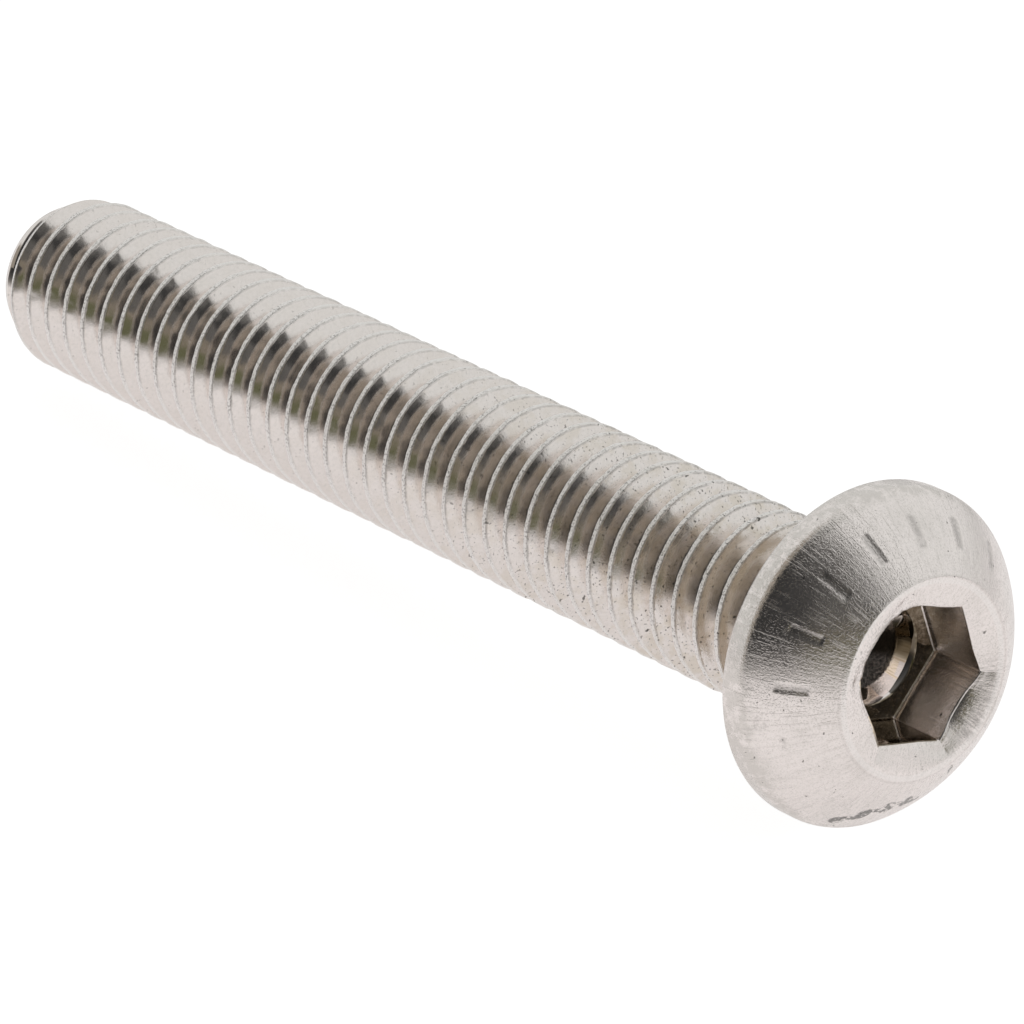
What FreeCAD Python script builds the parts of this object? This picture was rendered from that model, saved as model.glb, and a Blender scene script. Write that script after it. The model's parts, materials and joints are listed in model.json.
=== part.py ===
"""A button head socket screw, M6 x 40, as one solid in its lying pose.

Inside its body the screw stands on the Z axis: the bearing face under the head is at
Z = 0, the shank rises from it to the tip, and the domed head hangs below it. The shank
is plain at the diameter of the thread crests. The placement of the body then lays the
screw on the rim of its head and the end of its shank.
"""
import FreeCAD, Part
import math
import os
import Sketcher

SIZES = (
    ("shank_diameter", 5.88, "over the rolled thread crests"),
    ("shank_length", 40.0, "bearing face to tip"),
    ("chamfer_length", 1.2, "taper at the tip, along the axis"),
    ("tip_diameter", 4.7, "flat end of the tip"),
    ("neck_round", 0.25, "fillet between shank and bearing face"),
    ("head_diameter", 10.5, "over the rim"),
    ("head_height", 3.0, "bearing face to the top of the dome"),
    ("rim_height", 0.9, "bearing face to the edge of the dome"),
    ("rim_round", 0.5, "fillet between rim and dome"),
    ("edge_round", 0.3, "fillet between rim and bearing face"),
    ("dish_diameter", 6.2, "shallow dish round the socket"),
    ("dish_slope", 12.0, "fall of the dish towards the axis, in degrees"),
    ("socket_width", 4.05, "hexagon across its flats"),
    ("socket_depth", 2.25, "top of the dome to the shelf of the socket"),
    ("punch_diameter", 3.1, "punched hollow where it leaves the shelf"),
    ("punch_end_diameter", 2.4, "flat end of the punched hollow"),
    ("punch_depth", 0.5, "shelf to the flat end of the punched hollow"),
    ("lying_roll", 44.0, "turn about the axis that brings a socket corner from the top"),
)
SIZE = {name: value for name, value, note in SIZES}
SOCKET_SIDES = 6
START, END, CENTRE = range(1, 4)  # points of a sketched line or arc
ORIGIN, HORIZONTAL_AXIS, VERTICAL_AXIS = -1, -1, -2


def driving_sizes(doc):
    """The sheet of driving dimensions, one row for each size."""
    sheet = doc.addObject("Spreadsheet::Sheet", "sizes")
    for row, (name, value, note) in enumerate(SIZES, start=1):
        sheet.set(f"A{row}", name)
        sheet.set(f"B{row}", str(value))
        sheet.set(f"C{row}", note)
        sheet.setAlias(f"B{row}", name)


def sketch_on(body, name, role):
    """An empty sketch on one of the body's own origin planes."""
    plane = next(item for item in body.Origin.OriginFeatures if item.Role == role)
    sketch = body.newObject("Sketcher::SketchObject", name)
    sketch.AttachmentSupport = (plane, [""])
    sketch.MapMode = "FlatFace"
    return sketch


def constrain(sketch, *arguments, size=None):
    """One constraint of a sketch, bound to the sheet where a size is given."""
    number = sketch.addConstraint(Sketcher.Constraint(*arguments))
    if size:
        sketch.setExpression(f"Constraints[{number}]", size)


def draw_outline(sketch, points, arc_centres=None):
    """A closed outline of lines through the points, or arcs on the sides given a centre."""
    arc_centres = arc_centres or {}
    corners = [FreeCAD.Vector(x, y, 0) for x, y in points]
    for side, corner in enumerate(corners):
        following = corners[(side + 1) % len(corners)]
        if side in arc_centres:
            centre = FreeCAD.Vector(*arc_centres[side], 0)
            spokes = (corner - centre, following - centre)
            circle = Part.Circle(centre, FreeCAD.Vector(0, 0, 1), spokes[0].Length)
            angles = [math.atan2(spoke.y, spoke.x) for spoke in spokes]
            sketch.addGeometry(Part.ArcOfCircle(circle, *angles), False)
        else:
            sketch.addGeometry(Part.LineSegment(corner, following), False)
    for side in range(len(corners)):
        constrain(sketch, "Coincident", side, END, (side + 1) % len(corners), START)


def hold_corner(sketch, side, across, along):
    """Holds the start of a side by its distances across and along the screw's axis.

    Without a distance across it lies on the axis, and without one along it is level
    with the bearing face.
    """
    corner = sketch.getPoint(side, START)
    if across:
        constrain(sketch, "DistanceX", ORIGIN, START, side, START, corner.x, size=across)
    else:
        constrain(sketch, "PointOnObject", side, START, VERTICAL_AXIS)
    if along:
        constrain(sketch, "DistanceY", ORIGIN, START, side, START, corner.y, size=along)
    else:
        constrain(sketch, "PointOnObject", side, START, HORIZONTAL_AXIS)


def turned(body, kind, name, sketch):
    """A full Revolution or Groove of a sketch about the screw's axis."""
    feature = body.newObject(kind, name)
    feature.Profile = sketch
    feature.ReferenceAxis = (sketch, ["V_Axis"])
    feature.Angle = 360
    body.Document.recompute()
    return feature


def turned_blank(body):
    """Head and shank turned from one profile, before their edges are rounded."""
    dish_radius = SIZE["dish_diameter"] / 2
    rim_radius = SIZE["head_diameter"] / 2
    shank_radius = SIZE["shank_diameter"] / 2
    top, rim, tip = SIZE["head_height"], SIZE["rim_height"], SIZE["shank_length"]
    dish_depth = dish_radius * math.tan(math.radians(SIZE["dish_slope"]))
    dome_centre = (rim_radius**2 - dish_radius**2 - top**2 + rim**2) / (2 * (top - rim))
    outline = [
        (0, dish_depth - top),
        (dish_radius, -top),
        (rim_radius, -rim),
        (rim_radius, 0),
        (shank_radius, 0),
        (shank_radius, tip - SIZE["chamfer_length"]),
        (SIZE["tip_diameter"] / 2, tip),
        (0, tip),
    ]
    dome = 1
    sketch = sketch_on(body, "blank_profile", "XZ_Plane")
    draw_outline(sketch, outline, {dome: (0, dome_centre)})
    constrain(sketch, "PointOnObject", dome, CENTRE, VERTICAL_AXIS)
    dish_bottom = "sizes.dish_diameter / 2 * tan(sizes.dish_slope * 1 deg) - sizes.head_height"
    taper_start = "sizes.shank_length - sizes.chamfer_length"
    hold_corner(sketch, 0, None, dish_bottom)
    hold_corner(sketch, 1, "sizes.dish_diameter / 2", "-sizes.head_height")
    hold_corner(sketch, 2, "sizes.head_diameter / 2", "-sizes.rim_height")
    hold_corner(sketch, 3, "sizes.head_diameter / 2", None)
    hold_corner(sketch, 4, "sizes.shank_diameter / 2", None)
    hold_corner(sketch, 5, "sizes.shank_diameter / 2", taper_start)
    hold_corner(sketch, 6, "sizes.tip_diameter / 2", "sizes.shank_length")
    hold_corner(sketch, 7, None, "sizes.shank_length")
    return turned(body, "PartDesign::Revolution", "blank", sketch)


def rounded(body, base, name, radius, height, size):
    """A fillet on the base's circular edge of that radius and height."""
    edges = [
        f"Edge{number}"
        for number, edge in enumerate(base.Shape.Edges, start=1)
        if edge.Curve.TypeId == "Part::GeomCircle"
        and math.isclose(edge.Curve.Radius, radius, abs_tol=1e-6)
        and math.isclose(edge.Curve.Center.z, height, abs_tol=1e-6)
    ]
    fillet = body.newObject("PartDesign::Fillet", name)
    fillet.Base = (base, edges)
    fillet.setExpression("Radius", f"sizes.{size}")
    body.Document.recompute()
    return fillet


def screw_blank(body):
    """The turned blank with its dome edge, bearing edge and neck rounded."""
    rim_radius = SIZE["head_diameter"] / 2
    shank_radius = SIZE["shank_diameter"] / 2
    blank = turned_blank(body)
    blank = rounded(body, blank, "dome_edge", rim_radius, -SIZE["rim_height"], "rim_round")
    blank = rounded(body, blank, "bearing_edge", rim_radius, 0, "edge_round")
    rounded(body, blank, "neck_fillet", shank_radius, 0, "neck_round")


def hexagon_socket(body):
    """The driving hexagon, pressed into the dished top of the head, one corner along X."""
    corner_radius = SIZE["socket_width"] / 2 / math.cos(math.pi / SOCKET_SIDES)
    corners = []
    for side in range(SOCKET_SIDES):
        turn = side * 2 * math.pi / SOCKET_SIDES
        corners.append((corner_radius * math.cos(turn), corner_radius * math.sin(turn)))
    sketch = sketch_on(body, "socket_profile", "XY_Plane")
    sketch.setExpression(".AttachmentOffset.Base.z", "-sizes.head_height")
    draw_outline(sketch, corners)
    centre = FreeCAD.Vector(0, 0, 0)
    ring = sketch.addGeometry(Part.Circle(centre, FreeCAD.Vector(0, 0, 1), corner_radius), True)
    constrain(sketch, "Coincident", ring, CENTRE, ORIGIN, START)
    constrain(sketch, "PointOnObject", 0, START, HORIZONTAL_AXIS)
    for side in range(SOCKET_SIDES):
        constrain(sketch, "PointOnObject", side, START, ring)
    for side in range(1, SOCKET_SIDES):
        constrain(sketch, "Equal", 0, side)
    constrain(sketch, "Radius", ring, corner_radius, size="sizes.socket_width / 2 / cos(30 deg)")
    socket = body.newObject("PartDesign::Pocket", "socket")
    socket.Profile = sketch
    socket.Reversed = True
    socket.setExpression("Length", "sizes.socket_depth")
    body.Document.recompute()


def punched_hollow(body):
    """The round hollow that the punch leaves in the floor of the socket."""
    shelf = SIZE["socket_depth"] - SIZE["head_height"]
    end = shelf + SIZE["punch_depth"]
    outline = [
        (0, shelf),
        (SIZE["punch_diameter"] / 2, shelf),
        (SIZE["punch_end_diameter"] / 2, end),
        (0, end),
    ]
    sketch = sketch_on(body, "hollow_profile", "XZ_Plane")
    draw_outline(sketch, outline)
    shelf_level = "sizes.socket_depth - sizes.head_height"
    end_level = "sizes.socket_depth - sizes.head_height + sizes.punch_depth"
    hold_corner(sketch, 0, None, shelf_level)
    hold_corner(sketch, 1, "sizes.punch_diameter / 2", shelf_level)
    hold_corner(sketch, 2, "sizes.punch_end_diameter / 2", end_level)
    hold_corner(sketch, 3, None, end_level)
    turned(body, "PartDesign::Groove", "hollow", sketch)


def lying_placement():
    """Lays the screw along X on its rounded rim and the start of its tip taper, rolled a little.

    The middle of the screw's length comes to X = 0, and the tip points to -X.
    """
    rim_radius = SIZE["head_diameter"] / 2
    shank_radius = SIZE["shank_diameter"] / 2
    edge = SIZE["edge_round"]
    along = SIZE["shank_length"] - SIZE["chamfer_length"] + edge
    across = rim_radius - edge - shank_radius
    tilt = math.atan2(across, along) + math.asin(edge / math.hypot(across, along))
    slope, level = math.sin(tilt), math.cos(tilt)
    bearing_height = (rim_radius - edge) * level - edge * slope + edge
    tip_reach = SIZE["shank_length"] * level + SIZE["tip_diameter"] / 2 * slope
    head_reach = SIZE["head_height"] * level + SIZE["dish_diameter"] / 2 * slope
    bearing_face = FreeCAD.Vector((tip_reach - head_reach) / 2, 0, bearing_height)
    laid = FreeCAD.Rotation(FreeCAD.Vector(0, 1, 0), -90 - math.degrees(tilt))
    rolled = FreeCAD.Rotation(FreeCAD.Vector(0, 0, 1), SIZE["lying_roll"])
    return FreeCAD.Placement(bearing_face, laid * rolled)


def check(doc, body):
    """Stops where a feature failed or the screw is not one sound solid."""
    failed = [item.Name for item in doc.Objects if {"Invalid", "Error"} & set(item.State)]
    if failed:
        raise RuntimeError(f"failed features: {failed}")
    shape = body.Shape
    if shape.isNull() or not shape.isValid() or len(shape.Solids) != 1:
        raise RuntimeError(f"{body.Label} is not one valid solid")


def main():
    doc = FreeCAD.newDocument("button_head_screw")
    driving_sizes(doc)
    body = doc.addObject("PartDesign::Body", "screw")
    body.Label = "button_head_screw"
    doc.recompute()
    screw_blank(body)
    hexagon_socket(body)
    punched_hollow(body)
    body.Placement = lying_placement()
    doc.recompute()
    check(doc, body)
    os.makedirs("parts", exist_ok=True)
    body.Shape.exportStep(f"parts/{body.Label}.step")
    print(f"{body.Label}: {body.Shape.Volume:.2f} mm3, {len(body.Shape.Faces)} faces")


main()
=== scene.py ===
"""Looks of a button head screw: the rolled thread, the punched head and a plain light stage.

The screw is modelled standing on its own axis in millimetres, and then laid where the
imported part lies. There, the bearing face under the head is at z = 0, the shank rises from
it to the tip, and the domed head hangs below it.
"""
import json
import math

import bmesh
import bpy
from mathutils import Matrix, Vector, noise


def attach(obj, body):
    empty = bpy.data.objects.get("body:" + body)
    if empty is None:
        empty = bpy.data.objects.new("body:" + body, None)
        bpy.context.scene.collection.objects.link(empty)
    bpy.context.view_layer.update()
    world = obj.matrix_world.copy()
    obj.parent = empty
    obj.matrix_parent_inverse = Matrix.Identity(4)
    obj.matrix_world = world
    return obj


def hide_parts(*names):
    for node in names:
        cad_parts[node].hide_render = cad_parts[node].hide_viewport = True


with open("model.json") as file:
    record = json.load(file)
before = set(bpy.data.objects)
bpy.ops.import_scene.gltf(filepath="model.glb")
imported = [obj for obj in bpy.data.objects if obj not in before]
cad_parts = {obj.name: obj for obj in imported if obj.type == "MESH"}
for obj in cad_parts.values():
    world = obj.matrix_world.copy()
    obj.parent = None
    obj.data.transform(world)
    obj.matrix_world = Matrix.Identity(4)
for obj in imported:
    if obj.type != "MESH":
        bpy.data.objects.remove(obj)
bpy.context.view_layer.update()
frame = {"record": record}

# Driving sizes in millimetres
PITCH = 1.0
CREST_RADIUS = 2.94
CREST_FLAT = 0.15
ROOT_RADIUS = 2.36
ROOT_ROUND = 0.16
FLANK_STEPS = (0.12, 0.56)
THREAD_PHASE = 0.153
SHANK_LENGTH = 40.0
TAPER_LENGTH = 1.2
TIP_RADIUS = 2.35
TIP_RINGS = (0.5, 0.7, 0.7)
NECK_RADIUS = 2.72
NECK_ROUND = 0.25
RUNOUT = (0.5, 1.6)
HEAD_RADIUS = 5.25
HEAD_HEIGHT = 3.0
RIM_HEIGHT = 0.9
RIM_ROUND = 0.5
BEARING_ROUND = 0.3
DISH_RADIUS = 3.1
DISH_SLOPE = 12.0
DISH_ROUND = 0.16
LIP_HALF_TURN = 18.0
DISH_RINGS = (2.85, 2.75, 2.65, 2.55, 2.46, 2.38, 2.31, 2.25, 2.2, 2.15)
SOCKET_APOTHEM = 2.025
SOCKET_DEPTH = 2.25
SOCKET_TURN = 44.0
MOUTH_ROUND = 0.08
FOOT_ROUND = 0.06
DRAG_TURN = 134.0
DRAG_WIDTH = 0.95
DRAG_DEPTH = 0.14
BULGE = 0.26
PUNCH_RADIUS = 1.55
PUNCH_END_RADIUS = 1.2
PUNCH_DEPTH = 0.5
PUNCH_OFFSET = (0.015, 0.11)

# The camera that the photograph was taken with
AZIMUTH = 51.59
ELEVATION = 26.43
DISTANCE = 227.494
LENS = 273.8
AIM_LEFT = 10.059
AIM_UP = 3.981

# Plain strokes in the dome, in millimetres and degrees
MARK_START = -91.0
MARK_STEP = 22.0
MARK_COUNT = 7
MARK_REACH = (3.90, 4.65)
MARK_WIDTH = 0.28

# The floor's reach in metres, and how finely the screw's meshes are cut
FLOOR_REACH = 2.0
MILLIMETRE = 0.001
THREAD_COLUMNS = 120
HEAD_COLUMNS = 360
WALL_STEPS = (0.28, 0.45, 0.6, 0.75, 0.9)


def arc(centre, radius, start, end, steps):
    """Points of an arc in the profile plane, from one angle to the other, in degrees."""
    points = []
    for step in range(steps + 1):
        angle = math.radians(start + (end - start) * step / steps)
        points.append((centre[0] + radius * math.cos(angle), centre[1] + radius * math.sin(angle)))
    return points


def smooth(value, start, end):
    """0 before start, 1 after end, and a smooth rise between them."""
    share = min(max((value - start) / (end - start), 0.0), 1.0)
    return share * share * (3 - 2 * share)


def spun(profile, columns, rise=0.0):
    """A profile of (radius, height) points spun once about the axis, rising as it turns."""
    mesh = bmesh.new()
    line = [mesh.verts.new((radius, 0, height)) for radius, height in profile]
    edges = [mesh.edges.new(pair) for pair in zip(line, line[1:])]
    bmesh.ops.spin(
        mesh,
        geom=line + edges,
        cent=(0, 0, 0),
        axis=(0, 0, 1),
        dvec=(0, 0, rise / columns),
        angle=math.tau,
        steps=columns,
        use_merge=rise == 0,
    )
    bmesh.ops.remove_doubles(mesh, verts=mesh.verts, dist=0.002)
    return mesh


def thread_profile():
    """One pitch after another of the thread, from below the neck to above the tip."""
    root_centre = ROOT_RADIUS + ROOT_ROUND
    groove = arc((root_centre, PITCH / 2), ROOT_ROUND, 240, 120, 6)
    flank_foot = groove[0]
    half = CREST_FLAT / 2
    pitch = [(CREST_RADIUS, -half), (CREST_RADIUS, half)]
    for share in FLANK_STEPS:
        along = half + (flank_foot[1] - half) * share
        pitch.append((CREST_RADIUS + (flank_foot[0] - CREST_RADIUS) * share, along))
    pitch += groove
    for share in reversed(FLANK_STEPS):
        along = half + (flank_foot[1] - half) * share
        pitch.append((CREST_RADIUS + (flank_foot[0] - CREST_RADIUS) * share, PITCH - along))
    profile = []
    for turn in range(-1, int(SHANK_LENGTH / PITCH) + 2):
        profile += [(radius, height + (turn + THREAD_PHASE) * PITCH) for radius, height in pitch]
    return profile


def roughened(point, radius):
    """A thread point moved as the rolled crests are: torn a little and never quite even."""
    crest = smooth(radius, CREST_RADIUS - 0.12, CREST_RADIUS)
    torn = noise.noise(point * 4.0) + 0.6 * noise.noise(point * 11.0)
    worn = noise.noise(point * 1.3 + Vector((7.0, 3.0, 1.0)))
    inward = crest * (0.016 + 0.014 * torn + 0.008 * worn)
    shift = crest * 0.026 * noise.noise(point * 7.0 + Vector((0.0, 9.0, 4.0)))
    return radius - inward, point.z + shift


def thread_mesh():
    """The rolled thread, run out into the neck and turned down to the tip's taper."""
    mesh = spun(thread_profile(), THREAD_COLUMNS, rise=PITCH)
    taper_start = SHANK_LENGTH - TAPER_LENGTH
    for vert in mesh.verts:
        radius = vert.co.xy.length
        wanted, height = roughened(vert.co, radius)
        fade = 1 - smooth(height, *RUNOUT)
        wanted += (NECK_RADIUS - wanted) * fade
        share = (height - taper_start) / TAPER_LENGTH
        taper = CREST_RADIUS + (TIP_RADIUS - CREST_RADIUS) * share
        wanted = min(wanted, max(taper, TIP_RADIUS))
        vert.co.xy *= wanted / radius
        vert.co.z = min(max(height, RUNOUT[0]), SHANK_LENGTH)
    bmesh.ops.remove_doubles(mesh, verts=mesh.verts, dist=0.002)
    return mesh


def round_centre(dome_centre, dome_radius, angle):
    """The centre of a round inside the dome that touches it at an angle in degrees."""
    inner = dome_radius - DISH_ROUND
    turn = math.radians(angle)
    return inner * math.cos(turn), dome_centre + inner * math.sin(turn)


def head_profile():
    """The head from the neck over the bearing face, rim, dome and dish to the socket's floor."""
    dome_height = HEAD_HEIGHT - RIM_HEIGHT
    centre = (HEAD_RADIUS**2 - DISH_RADIUS**2 - HEAD_HEIGHT**2 + RIM_HEIGHT**2) / (2 * dome_height)
    dome_radius = math.hypot(DISH_RADIUS, HEAD_HEIGHT + centre)
    fillet_x = HEAD_RADIUS - RIM_ROUND
    fillet_y = centre - math.sqrt((dome_radius - RIM_ROUND) ** 2 - fillet_x**2)
    rim_angle = math.degrees(math.atan2(fillet_y - centre, fillet_x))
    dish_angle = math.degrees(math.atan2(-HEAD_HEIGHT - centre, DISH_RADIUS))
    neck = arc((NECK_RADIUS + NECK_ROUND, NECK_ROUND), NECK_ROUND, 180, 270, 5)
    bearing = [(NECK_RADIUS + share, 0) for share in (0.8, 1.4)]
    corner = HEAD_RADIUS - BEARING_ROUND
    edge = arc((corner, -BEARING_ROUND), BEARING_ROUND, 90, 0, 6)
    rim = arc((fillet_x, fillet_y), RIM_ROUND, 0, rim_angle, 8)
    lip_reach = DISH_ROUND * math.tan(math.radians(LIP_HALF_TURN))
    lip_angle = dish_angle + math.degrees(lip_reach / dome_radius)
    dome = arc((0, centre), dome_radius, rim_angle, lip_angle, 38)
    lip_centre = round_centre(centre, dome_radius, lip_angle)
    lip = arc(lip_centre, DISH_ROUND, dish_angle, DISH_SLOPE - 90, 6)
    slope = math.tan(math.radians(DISH_SLOPE))
    dish = []
    for radius in DISH_RINGS:
        dish.append((radius, -HEAD_HEIGHT + (DISH_RADIUS - radius) * slope))
    mouth_height = -HEAD_HEIGHT + (DISH_RADIUS - SOCKET_APOTHEM) * slope
    mouth = arc(
        (SOCKET_APOTHEM + MOUTH_ROUND, mouth_height + MOUTH_ROUND), MOUTH_ROUND, 270, 180, 3
    )
    floor = SOCKET_DEPTH - HEAD_HEIGHT
    wall = [(SOCKET_APOTHEM, mouth_height + (floor - mouth_height) * share) for share in WALL_STEPS]
    foot = arc((SOCKET_APOTHEM - FOOT_ROUND, floor - FOOT_ROUND), FOOT_ROUND, 0, 90, 2)
    shelf = [(1.8, floor), (PUNCH_RADIUS + 0.03, floor), (PUNCH_RADIUS - 0.02, floor + 0.03)]
    end = floor + PUNCH_DEPTH
    cone = [(1.43, floor + 0.17), (1.31, floor + 0.34), (PUNCH_END_RADIUS, end)]
    disc = [(1.0, end), (0.6, end), (0.3, end), (0.1, end)]
    outside = [(NECK_RADIUS, RUNOUT[0])] + neck + bearing + edge + rim + dome[1:]
    return outside + lip[1:] + dish + mouth + wall + foot + shelf + cone + disc


def hexagon_reach(angle):
    """How much further out the hexagon's wall is than its apothem, at an angle in radians."""
    sector = math.tau / 6
    corner_angle = (angle - math.radians(SOCKET_TURN)) % sector
    return 1 / math.cos(corner_angle - sector / 2)


def pressed_to_hexagon(vert):
    """Moves a point of the round hollow to the hexagon that the socket really is."""
    x, y, z = vert.co
    radius = math.hypot(x, y)
    floor = SOCKET_DEPTH - HEAD_HEIGHT
    if z > floor + 0.01 or radius > DISH_RADIUS - 0.02 or z > 0:
        return
    angle = math.atan2(y, x)
    reach = hexagon_reach(angle)
    if radius >= SOCKET_APOTHEM - 0.07:
        share = 1 - smooth(radius, SOCKET_APOTHEM + MOUTH_ROUND, DISH_RADIUS - 0.1)
    else:
        share = smooth(radius, PUNCH_RADIUS + 0.05, SOCKET_APOTHEM - 0.08)
    vert.co.xy *= 1 + (reach - 1) * share
    near = min(max(1 - (radius - SOCKET_APOTHEM - MOUTH_ROUND) / DRAG_WIDTH, 0.0), 1.0) ** 2
    near *= smooth(reach, 1.155, 1.0) * (1 - smooth(z, -2.7, -1.7))
    lean = math.cos(angle - math.radians(DRAG_TURN))
    vert.co.z += DRAG_DEPTH * near**2 * max(lean, 0.0) ** 2
    vert.co.xy *= 1 + BULGE * near * max(-lean, 0.0) ** 2 / radius


def head_mesh():
    """The head, spun from its profile, with the socket pressed into it."""
    mesh = spun(head_profile(), HEAD_COLUMNS)
    for vert in mesh.verts:
        radius = vert.co.xy.length
        pressed_to_hexagon(vert)
        if radius < 1.9 or vert.co.z < -0.31:
            vert.co.xy += Vector(PUNCH_OFFSET) * (1 - smooth(radius, DISH_RADIUS, 4.6))
    return mesh


def open_loops(mesh):
    """The open edge loops of a mesh, each as its edges, ordered by height."""
    waiting = {edge for edge in mesh.edges if edge.is_boundary}
    loops = []
    while waiting:
        edge = waiting.pop()
        loop, front = [edge], [edge]
        while front:
            beside = {e for v in front.pop().verts for e in v.link_edges if e in waiting}
            waiting -= beside
            loop += beside
            front += beside
        loops.append(loop)
    return sorted(loops, key=lambda loop: loop[0].verts[0].co.z)


def joined(parts):
    """Several meshes as one, without welding them yet."""
    whole = bmesh.new()
    for part in parts:
        copy = bpy.data.meshes.new("part")
        part.to_mesh(copy)
        part.free()
        whole.from_mesh(copy)
        bpy.data.meshes.remove(copy)
    return whole


def closed_screw():
    """Thread and head welded at the neck, with the tip and the socket's floor closed."""
    mesh = joined([head_mesh(), thread_mesh()])
    floor_loop, *neck_loops, tip_loop = open_loops(mesh)
    bmesh.ops.bridge_loops(mesh, edges=neck_loops[0] + neck_loops[1])
    bmesh.ops.holes_fill(mesh, edges=floor_loop, sides=0)
    tip = bmesh.ops.holes_fill(mesh, edges=tip_loop, sides=0)["faces"]
    for depth in TIP_RINGS:
        bmesh.ops.inset_region(mesh, faces=tip, thickness=depth)
    bmesh.ops.recalc_face_normals(mesh, faces=mesh.faces)
    return mesh


def lying():
    """The place of the screw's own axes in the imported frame."""
    mounts = {mount["name"]: mount for mount in frame["record"]["mounts"]}
    shank = mounts["shank"]
    to_tip = Vector(shank["axis"]).normalized()
    side = Vector((0, 1, 0))
    top = side.cross(to_tip)
    wall_start = NECK_ROUND + shank["dims"]["length_mm"] / 2
    bearing = Vector(shank["pos_m"]) - to_tip * wall_start * MILLIMETRE
    place = Matrix((top, side, to_tip)).transposed().to_4x4()
    place.translation = bearing
    return place


def finished(name, mesh, place, sharp=30.0):
    """A mesh object in metres, smooth but for its sharp edges, with its place in its mesh."""
    for face in mesh.faces:
        face.smooth = True
    for edge in mesh.edges:
        edge.smooth = edge.calc_face_angle(0.0) < math.radians(sharp)
    mesh.transform(place @ Matrix.Scale(MILLIMETRE, 4))
    data = bpy.data.meshes.new(name)
    mesh.to_mesh(data)
    mesh.free()
    piece = bpy.data.objects.new(name, data)
    bpy.context.scene.collection.objects.link(piece)
    return piece


class Value:
    """A number that varies over a surface, with arithmetic that adds its Math nodes."""

    def __init__(self, tree, socket):
        self.tree = tree
        self.socket = socket

    def math(self, operation, *others):
        return self.tree.maths(operation, self, *others)

    def __add__(self, other):
        return self.tree.maths("ADD", self, other)

    def __sub__(self, other):
        return self.tree.maths("SUBTRACT", self, other)

    def __rsub__(self, other):
        return self.tree.maths("SUBTRACT", other, self)

    def __mul__(self, other):
        return self.tree.maths("MULTIPLY", self, other)

    def __truediv__(self, other):
        return self.tree.maths("DIVIDE", self, other)

    def __rtruediv__(self, other):
        return self.tree.maths("DIVIDE", other, self)

    __radd__ = __add__
    __rmul__ = __mul__

    def between(self, start, end):
        """0 at start, 1 at end, smooth between them, and level outside."""
        settings = {"interpolation_type": "SMOOTHSTEP"}
        values = {"Value": self, "From Min": start, "From Max": end}
        return Value(self.tree, self.tree.node("ShaderNodeMapRange", settings, values).outputs[0])

    def within(self, low, high, edge):
        """1 from low to high, and 0 beyond, with soft edges."""
        return self.between(low - edge, low + edge) * self.between(high + edge, high - edge)


class Tree:
    """The nodes of a material or a world."""

    def __init__(self, owner):
        owner.use_nodes = True
        self.owner = owner
        self.tree = owner.node_tree
        self.tree.nodes.clear()

    def node(self, kind, settings=None, values=None):
        """A node with its settings made first and then its inputs set or linked."""
        made = self.tree.nodes.new(kind)
        for name, value in (settings or {}).items():
            setattr(made, name, value)
        for key, value in (values or {}).items():
            socket = made.inputs[key]
            if isinstance(value, Value):
                value = value.socket
            if isinstance(value, bpy.types.NodeSocket):
                self.tree.links.new(value, socket)
            else:
                socket.default_value = value
        return made

    def maths(self, operation, *numbers):
        settings = {"operation": operation}
        return Value(self, self.node("ShaderNodeMath", settings, dict(enumerate(numbers))).outputs[0])

    def axes_of(self, vector):
        """The three numbers of a vector."""
        return [Value(self, part) for part in self.node("ShaderNodeSeparateXYZ", {}, {0: vector}).outputs]

    def vector(self, x, y, z):
        return self.node("ShaderNodeCombineXYZ", {}, {0: x, 1: y, 2: z}).outputs[0]

    def blend(self, share, first, second):
        """A colour that goes from the first to the second as share goes from 0 to 1."""
        settings = {"data_type": "RGBA"}
        values = {0: share, 6: first, 7: second}
        return self.node("ShaderNodeMix", settings, values).outputs[2]


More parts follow.
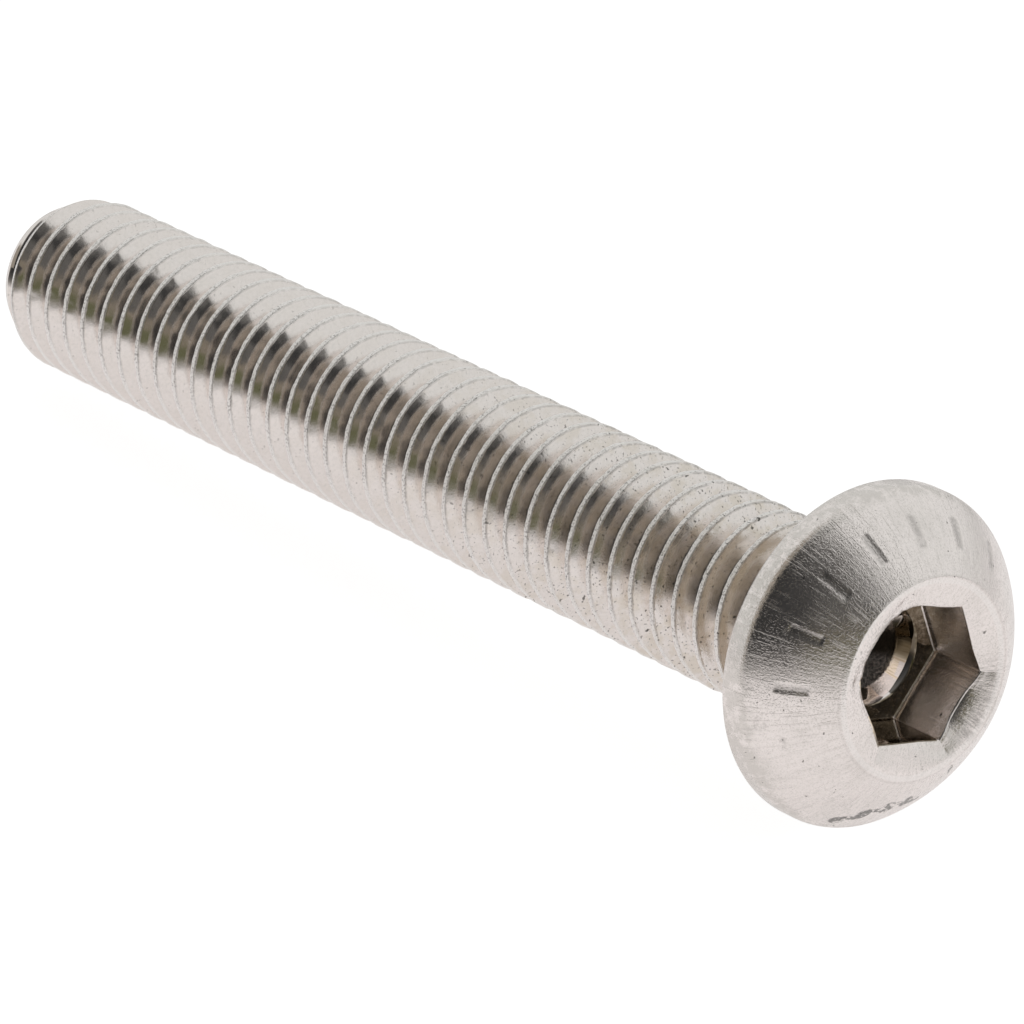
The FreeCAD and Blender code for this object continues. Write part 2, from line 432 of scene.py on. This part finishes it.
class Finish(Tree):
    """One material and its nodes, in the screw's own axes and millimetres."""

    def __init__(self, name, place):
        super().__init__(bpy.data.materials.new(name))
        where = self.node("ShaderNodeTexCoord").outputs["Object"]
        turned = {
            "Vector": where,
            "Location": place.translation,
            "Rotation": place.to_euler(),
            "Scale": (MILLIMETRE,) * 3,
        }
        self.point = self.node("ShaderNodeMapping", {"vector_type": "TEXTURE"}, turned).outputs[0]
        self.x, self.y, self.z = self.axes_of(self.point)
        self.radius = (self.x * self.x + self.y * self.y).math("SQRT")
        self.angle = self.y.math("ARCTAN2", self.x)

    def grain(self, scale, detail=2.0, where=None, rough=0.5):
        """Noise from 0 to 1 at so many cells a millimetre."""
        values = {
            "Vector": where or self.point,
            "Scale": scale,
            "Detail": detail,
            "Roughness": rough,
        }
        return Value(self, self.node("ShaderNodeTexNoise", {}, values).outputs[0])

    def degrees(self):
        """The turn about the screw's axis, from -180 to 180."""
        return self.angle * math.degrees(1.0)

    def patch(self, radius, turn, length, width):
        """1 in an oval at a place on the head, given in millimetres and degrees, and 0 outside."""
        turn = math.radians(turn)
        outward = (self.x * math.cos(turn) + self.y * math.sin(turn) - radius) / (length / 2)
        across = (self.y * math.cos(turn) - self.x * math.sin(turn)) / (width / 2)
        return (outward * outward + across * across).between(1.25, 0.6)

    def patches(self, places):
        """1 in any of several ovals, and 0 outside them."""
        first, *rest = [self.patch(*place) for place in places]
        for other in rest:
            first = first.math("MAXIMUM", other)
        return first

    def bump(self, height, strength, distance):
        values = {"Height": height, "Strength": strength, "Distance": distance * MILLIMETRE}
        return self.node("ShaderNodeBump", {}, values).outputs[0]

    def metal(self, colour, roughness, normal):
        """Ends the material in a metal surface."""
        values = {
            "Base Color": colour,
            "Roughness": roughness,
            "Normal": normal,
            "Metallic": 1.0,
        }
        surface = self.node("ShaderNodeBsdfPrincipled", {}, values).outputs[0]
        self.node("ShaderNodeOutputMaterial", {}, {"Surface": surface})
        return self.owner


def colour(red, green, blue):
    """An opaque colour."""
    return (red, green, blue, 1.0)


# Colours of the steel, its stains and its dirt, and of painted shade and painted highlights
BRIGHT_STEEL = colour(0.89, 0.838, 0.812)
DULL_STEEL = colour(0.76, 0.72, 0.69)
SOCKET_STEEL = colour(0.95, 0.85, 0.71)
SOCKET_DULL = colour(0.72, 0.60, 0.44)
# Painted shade: the dark brown of some socket walls, of the socket's depth and of part of its cone
SHADE_BROWN = colour(0.11, 0.085, 0.055)
SEAM = colour(0.20, 0.185, 0.17)
TARNISH = colour(0.74, 0.67, 0.58)
DOME_STEEL = colour(0.96, 0.90, 0.878)
# A painted highlight, on the dish's lip and on the thread's crests
HIGHLIGHT_STEEL = colour(0.98, 0.96, 0.945)
UNDER_STEEL = colour(0.50, 0.43, 0.35)
DARK_SPECK = colour(0.05, 0.045, 0.04)
# Stains, and also a painted shade line at the foot of the lip
STAIN_AND_SHADE = colour(0.20, 0.19, 0.18)


def thread_finish(place):
    """Rolled flanks and roots with torn crests painted lighter as a painted highlight, seams and chips
    shown mostly on the upper side as painted shade, and specks that thicken towards the head.
    """
    finish = Finish("thread_steel", place)
    turn = (finish.z / PITCH - THREAD_PHASE - finish.angle / math.tau).math("FRACT")
    from_groove = (turn - 0.5).math("ABSOLUTE") * 2
    wall = finish.z.between(SHANK_LENGTH - 0.02, SHANK_LENGTH - 0.1)
    crest = from_groove.between(0.76, 0.84) * wall
    near_head = finish.z.between(26.0, 4.0)
    upper = finish.x.between(-1.8, 0.6)
    rubbed = finish.y.between(0.8, -0.8) * finish.x.between(-2.6, -1.4)
    fine = finish.grain(8.0, 4.0, rough=0.65)
    seam = turn.within(0.885, 0.915, 0.015) * finish.grain(5.0, 2.0).between(0.30, 0.62) * wall * 0.5
    chips = finish.grain(17.0, 2.0).between(0.53, 0.60) * crest * (rubbed * 0.55 + 0.03)
    # Painted shade: the crest seams and chips, partly real, are strongest on the upper side and faint
    # underneath
    worn = (seam * (near_head * 0.4 + 0.6)).math("MAXIMUM", chips) * (upper * 0.8 + 0.1)
    coarse = finish.grain(6.5, 2.0).between(0.68, 0.72) * (near_head * 0.7 + 0.2)
    small = finish.grain(13.0, 2.0).between(0.64, 0.70) * near_head * 0.75
    tarnish = finish.grain(1.6, 4.0, rough=0.6).between(0.42, 0.62) * (near_head * 0.55 + 0.08)
    clean = finish.blend(fine.between(0.40, 0.72) * 0.45, BRIGHT_STEEL, DULL_STEEL)
    warm = finish.blend(tarnish, clean, TARNISH)
    # Painted highlight: the crests are painted lighter
    lined = finish.blend(worn, finish.blend(crest * 0.7, warm, HIGHLIGHT_STEEL), SEAM)
    stained = finish.blend(coarse.math("MAXIMUM", small), lined, DARK_SPECK)
    around = finish.vector(finish.angle * 3.0, finish.radius * 5.0, finish.z * 9.0)
    streaks = finish.grain(1.0, 3.0, around)
    roughness = 0.09 + crest * (upper * 0.22 + 0.08) + fine * 0.06 + near_head * 0.06
    torn = crest * (rubbed * 1.2 + 0.2)
    gritty = finish.grain(15.0, 4.0, rough=0.65)
    height = gritty * (torn + near_head * 0.25 + 0.12) + streaks * 0.15
    return finish.metal(stained, roughness, finish.bump(height, 0.4, 0.02))


# Nicks and smudges on the dome: radius, turn in degrees, length, width
NICKS = (
    (4.84, -153.5, 0.30, 0.50),
    (4.68, -157.0, 0.16, 0.60),
    (4.46, -160.5, 0.46, 0.46),
    (4.30, -165.0, 0.16, 0.66),
    (4.22, -169.5, 0.48, 0.50),
    (4.10, -174.0, 0.16, 0.56),
    (4.14, -178.5, 0.44, 0.44),
    (4.22, 177.0, 0.18, 0.44),
    (3.54, 160.5, 0.44, 0.18),
    (3.34, 133.0, 0.28, 0.14),
)
SMUDGES = ((4.88, -95.0, 0.3, 0.7), (4.50, -103.0, 0.25, 0.5))


def marks(finish):
    """A row of plain radial strokes pressed into the dome."""
    step = math.radians(MARK_STEP)
    along = (finish.angle - math.radians(MARK_START)) / step
    across = (along.math("FRACT") - 0.5) * step * finish.radius + finish.grain(2.5) * 0.06 - 0.03
    count = MARK_COUNT / 2
    row = (along - count).math("ABSOLUTE").between(count + 0.01, count - 0.01)
    length = finish.radius.within(MARK_REACH[0], MARK_REACH[1], 0.05)
    return across.math("ABSOLUTE").between(MARK_WIDTH * 0.75, MARK_WIDTH * 0.1) * length * row


def dome_finish(place):
    """Forged and tumbled dome: fine radial scratches, specks, strokes and nicks, darker streaks beside
    the socket's mouth, a painted highlight on the lip and a painted shade line at its foot.
    """
    finish = Finish("dome_steel", place)
    rays = finish.vector(finish.angle * 42.0, finish.radius * 1.9, 3.0)
    brushed = finish.grain(1.0, 5.0, rays, 0.75)
    hairs = finish.vector(finish.angle * 60.0, finish.radius * 1.3, 8.0)
    outside = finish.radius.between(DISH_RADIUS, DISH_RADIUS + 0.1)
    scratches = finish.grain(1.0, 3.0, hairs).between(0.56, 0.66) * (outside * 0.85 + 0.15)
    fine = finish.grain(9.0, 4.0, rough=0.65)
    specks = finish.grain(5.0, 3.0).between(0.70, 0.74)
    domed = finish.z.between(-0.5, -0.7)
    ragged = finish.grain(5.0, 4.0, rough=0.7).between(0.43, 0.49)
    worn = finish.patches(NICKS) * ragged * domed
    pressed = marks(finish) * domed
    smudged = finish.patches(SMUDGES) * finish.grain(5.0, 4.0, rough=0.7).between(0.45, 0.65) * domed
    cloud = finish.grain(0.9, 3.0, rays).between(0.45, 0.75) + finish.grain(0.7, 3.0).between(0.45, 0.75)
    salt = finish.grain(18.0, 2.0).between(0.50, 0.66)
    rim = finish.radius.between(4.95, 5.2) * finish.grain(3.0, 4.0, rough=0.65).between(0.35, 0.6)
    dull = fine.between(0.40, 0.70) * 0.3 + cloud * 0.34 + salt * 0.3 + rim * 0.9
    satin = finish.blend(dull, DOME_STEEL, DULL_STEEL)
    # Painted shade: a faint darker line on the dome at the foot of the lip
    foot = finish.radius.within(DISH_RADIUS + 0.04, DISH_RADIUS + 0.10, 0.03) * 0.10
    # Painted highlight: the lip of the dish is painted lighter than the dome
    lip = finish.radius.within(DISH_RADIUS - 0.16, DISH_RADIUS + 0.01, 0.02)
    highlighted_and_shaded = finish.blend(lip * 0.35, finish.blend(foot, satin, STAIN_AND_SHADE), HIGHLIGHT_STEEL)
    clean = finish.blend(finish.z.between(-0.14, -0.04), highlighted_and_shaded, UNDER_STEEL)
    # Darker streaks on the dish beside the socket's mouth, from 98 to 152 degrees about the axis
    beside_mouth = finish.radius.within(2.1, 3.0, 0.25) * finish.degrees().within(98.0, 152.0, 14.0)
    dark_streaks = beside_mouth * brushed.between(0.38, 0.62) * domed
    marked = pressed * (ragged * 0.2 + 0.2) + worn * 0.95 + smudged * 0.3 + dark_streaks * 0.55
    lined = finish.blend(marked, clean, STAIN_AND_SHADE)
    stained = finish.blend(specks * 0.75, lined, DARK_SPECK)
    roughness = 0.12 + scratches * 0.16 + brushed * 0.12
    dents = pressed * 3.0 + worn * 7.0
    height = brushed * 0.85 + scratches * 0.32 + fine * 0.5 + salt * 0.35 - dents
    return finish.metal(stained, roughness, finish.bump(height, 0.42, 0.02))


def socket_finish(place):
    """Punched walls of brownish steel burnished by the tool, painted shade on some walls, deep inside and
    on part of the cone, and a rough end.
    """
    finish = Finish("socket_steel", place)
    streaks = finish.grain(1.0, 3.0, finish.vector(finish.x * 9.0, finish.y * 9.0, finish.z * 0.8))
    fine = finish.grain(12.0, 4.0, rough=0.7)
    floor = SOCKET_DEPTH - HEAD_HEIGHT
    cone = finish.z.between(floor + 0.01, floor + 0.05)
    end = finish.z.between(floor + PUNCH_DEPTH - 0.05, floor + PUNCH_DEPTH - 0.01)
    turned = finish.degrees()
    # Painted shade: the walls at these turns about the axis, and the walls deep inside, are darkened to
    # dark brown
    low = turned.between(152.0, 164.0) + turned.between(-116.0, -134.0)
    right = turned.within(SOCKET_TURN + 2.0, SOCKET_TURN + 58.0, 3.0)
    deep = finish.z.between(floor - 1.1, floor - 0.7)
    painted_shade = (right * 0.95 + low * 0.9).math("MAXIMUM", deep * 0.85)
    walls = finish.blend(streaks.between(0.4, 0.7), SOCKET_STEEL, SOCKET_DULL)
    shaded_walls = finish.blend(painted_shade * (streaks * 0.5 + 0.7), walls, SHADE_BROWN)
    # Painted shade on part of the cone
    shade = turned.within(60.0, 116.0, 12.0) * 0.95
    clean = finish.blend(cone, shaded_walls, finish.blend(shade, BRIGHT_STEEL, SHADE_BROWN))
    stained = finish.blend(end * fine.between(0.42, 0.60) * 0.8, clean, DARK_SPECK)
    roughness = 0.02 + streaks * 0.04 + end * 0.05
    height = streaks * 0.015 + end * fine * 0.5
    return finish.metal(stained, roughness, finish.bump(height, 0.3, 0.015))


def paint_screw(piece, place):
    """Gives each face of the screw the finish of its zone."""
    for finish in (thread_finish(place), dome_finish(place), socket_finish(place)):
        piece.data.materials.append(finish)
    thread, dome, socket = range(3)
    own_axes = place.inverted()
    for face in piece.data.polygons:
        centre = own_axes @ face.center / MILLIMETRE
        radius = centre.xy.length
        if centre.z > NECK_ROUND:
            zone = thread
        elif radius < SOCKET_APOTHEM * hexagon_reach(math.atan2(centre.y, centre.x)) + 0.01:
            zone = socket
        else:
            zone = dome
        face.material_index = zone


def button_head_screw():
    """The screw as one piece, laid on the rim of its head and the end of its shank."""
    place = lying()
    piece = finished("button_head_screw_steel", closed_screw(), place)
    paint_screw(piece, place)
    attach(piece, "root")
    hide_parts("button_head_screw")


# Shades of the floor's paper and of its glow: as seen, and as mirrored near and far
FLOOR_PAPER = colour(0.9, 0.9, 0.9)
FLOOR_SEEN = colour(1.5, 1.5, 1.5)
FLOOR_NEAR = colour(1.1, 1.0692, 1.0582)
FLOOR_FAR = colour(0.4, 0.3888, 0.3848)
FLOOR_GLOW = 0.6


def floor_white():
    """White that keeps a soft shadow. What the steel mirrors of it dims towards the horizon."""
    paint = Tree(bpy.data.materials.new("floor_white"))
    rays = paint.node("ShaderNodeLightPath").outputs
    seen = Value(paint, rays["Is Camera Ray"])
    mirrored = Value(paint, rays["Is Glossy Ray"])
    x, y, _ = paint.axes_of(paint.node("ShaderNodeTexCoord").outputs["Object"])
    distance = (x * x + y * y).math("SQRT").math("MAXIMUM", 0.001)
    horizon = (1 / distance).between(26.0, 0.0)
    tint = paint.blend(mirrored, FLOOR_SEEN, paint.blend(horizon, FLOOR_NEAR, FLOOR_FAR))
    paper = paint.node("ShaderNodeBsdfDiffuse", {}, {"Color": FLOOR_PAPER})
    glow = paint.node("ShaderNodeEmission", {}, {"Color": tint})
    share = seen.math("MAXIMUM", mirrored) * FLOOR_GLOW
    shades = {0: share, 1: paper.outputs[0], 2: glow.outputs[0]}
    mixed = paint.node("ShaderNodeMixShader", {}, shades)
    paint.node("ShaderNodeOutputMaterial", {}, {"Surface": mixed.outputs[0]})
    return paint.owner


def plain_floor():
    """A pale floor, far larger than the screw."""
    mesh = bmesh.new()
    bmesh.ops.create_grid(mesh, x_segments=1, y_segments=1, size=FLOOR_REACH)
    data = bpy.data.meshes.new("floor")
    mesh.to_mesh(data)
    mesh.free()
    floor = bpy.data.objects.new("floor", data)
    bpy.context.scene.collection.objects.link(floor)
    data.materials.append(floor_white())


def view_axes():
    """The camera's right, up and forward directions."""
    azimuth, elevation = math.radians(AZIMUTH), math.radians(ELEVATION)
    forward = Vector(
        (
            -math.sin(azimuth) * math.cos(elevation),
            math.cos(azimuth) * math.cos(elevation),
            -math.sin(elevation),
        )
    )
    right = forward.cross(Vector((0, 0, 1))).normalized()
    return right, right.cross(forward), forward


def camera():
    """The photograph's camera, far off and with a long lens."""
    right, up, forward = view_axes()
    bearing = lying().translation
    aim = bearing + (up * AIM_UP - right * AIM_LEFT) * MILLIMETRE
    place = Matrix((right, up, -forward)).transposed().to_4x4()
    place.translation = aim - forward * DISTANCE * MILLIMETRE
    data = bpy.data.cameras.new("camera")
    data.lens = LENS
    data.sensor_width = 36.0
    data.clip_start = 0.01
    seen_from = bpy.data.objects.new("camera", data)
    seen_from.matrix_world = place
    bpy.context.scene.collection.objects.link(seen_from)
    bpy.context.scene.camera = seen_from


# Shades of the tent, and of the dark side that the head faces
TENT = colour(0.735, 0.74, 0.725)
TENT_SIDE = colour(0.31, 0.282, 0.24)
ROOM = colour(0.13, 0.127, 0.12)
DARK = colour(0.035, 0.035, 0.035)
WARM_SHADE = colour(0.22, 0.192, 0.153)
OLIVE_SHADE = colour(0.11, 0.115, 0.06)
HAZE = colour(0.36, 0.34, 0.32)


def studio_light():
    """A white tent, open to a dark room on the side that the head faces."""
    world = Tree(bpy.data.worlds.new("tent"))
    bpy.context.scene.world = world.owner
    direction = world.node("ShaderNodeTexCoord").outputs["Generated"]
    x, y, z = world.axes_of(direction)
    heading = x.math("ARCTAN2", y * -1.0) * math.degrees(1.0)
    height = z.math("ARCSINE") * math.degrees(1.0)
    above = height.between(88.0, 78.0)
    shaded = heading.within(height * -0.9 - 18.0, 0.0, 3.0) * above
    opening = heading.between(-10.0, -4.0) * heading.between(104.0, 102.0) * above
    middle = heading.between(-15.0, -7.0) * heading.between(96.0, 36.0) * height.within(9.0, 72.0, 7.0)
    edge = heading.within(84.0, 110.0, 1.0) * height.within(19.5, 34.0, 1.0)
    right_hand = heading.between(50.0, 62.0)
    shades = (
        (shaded, TENT_SIDE),
        (opening, ROOM),
        (opening * middle.math("MAXIMUM", edge), DARK),
        (opening * right_hand * height.between(19.5, 17.0), WARM_SHADE),
        (opening * right_hand * height.between(14.0, 10.0), OLIVE_SHADE),
        (opening * height.between(6.0, 0.0) * 0.8, HAZE),
    )
    around = TENT
    for share, shade in shades:
        around = world.blend(share, around, shade)
    seen = world.node("ShaderNodeLightPath").outputs["Is Camera Ray"]
    shown = world.blend(seen, around, colour(1, 1, 1))
    background = world.node("ShaderNodeBackground", {}, {"Color": shown})
    world.node("ShaderNodeOutputWorld", {}, {"Surface": background.outputs[0]})


camera()
button_head_screw()
plain_floor()
studio_light()
bpy.context.scene.view_settings.view_transform = "Standard"
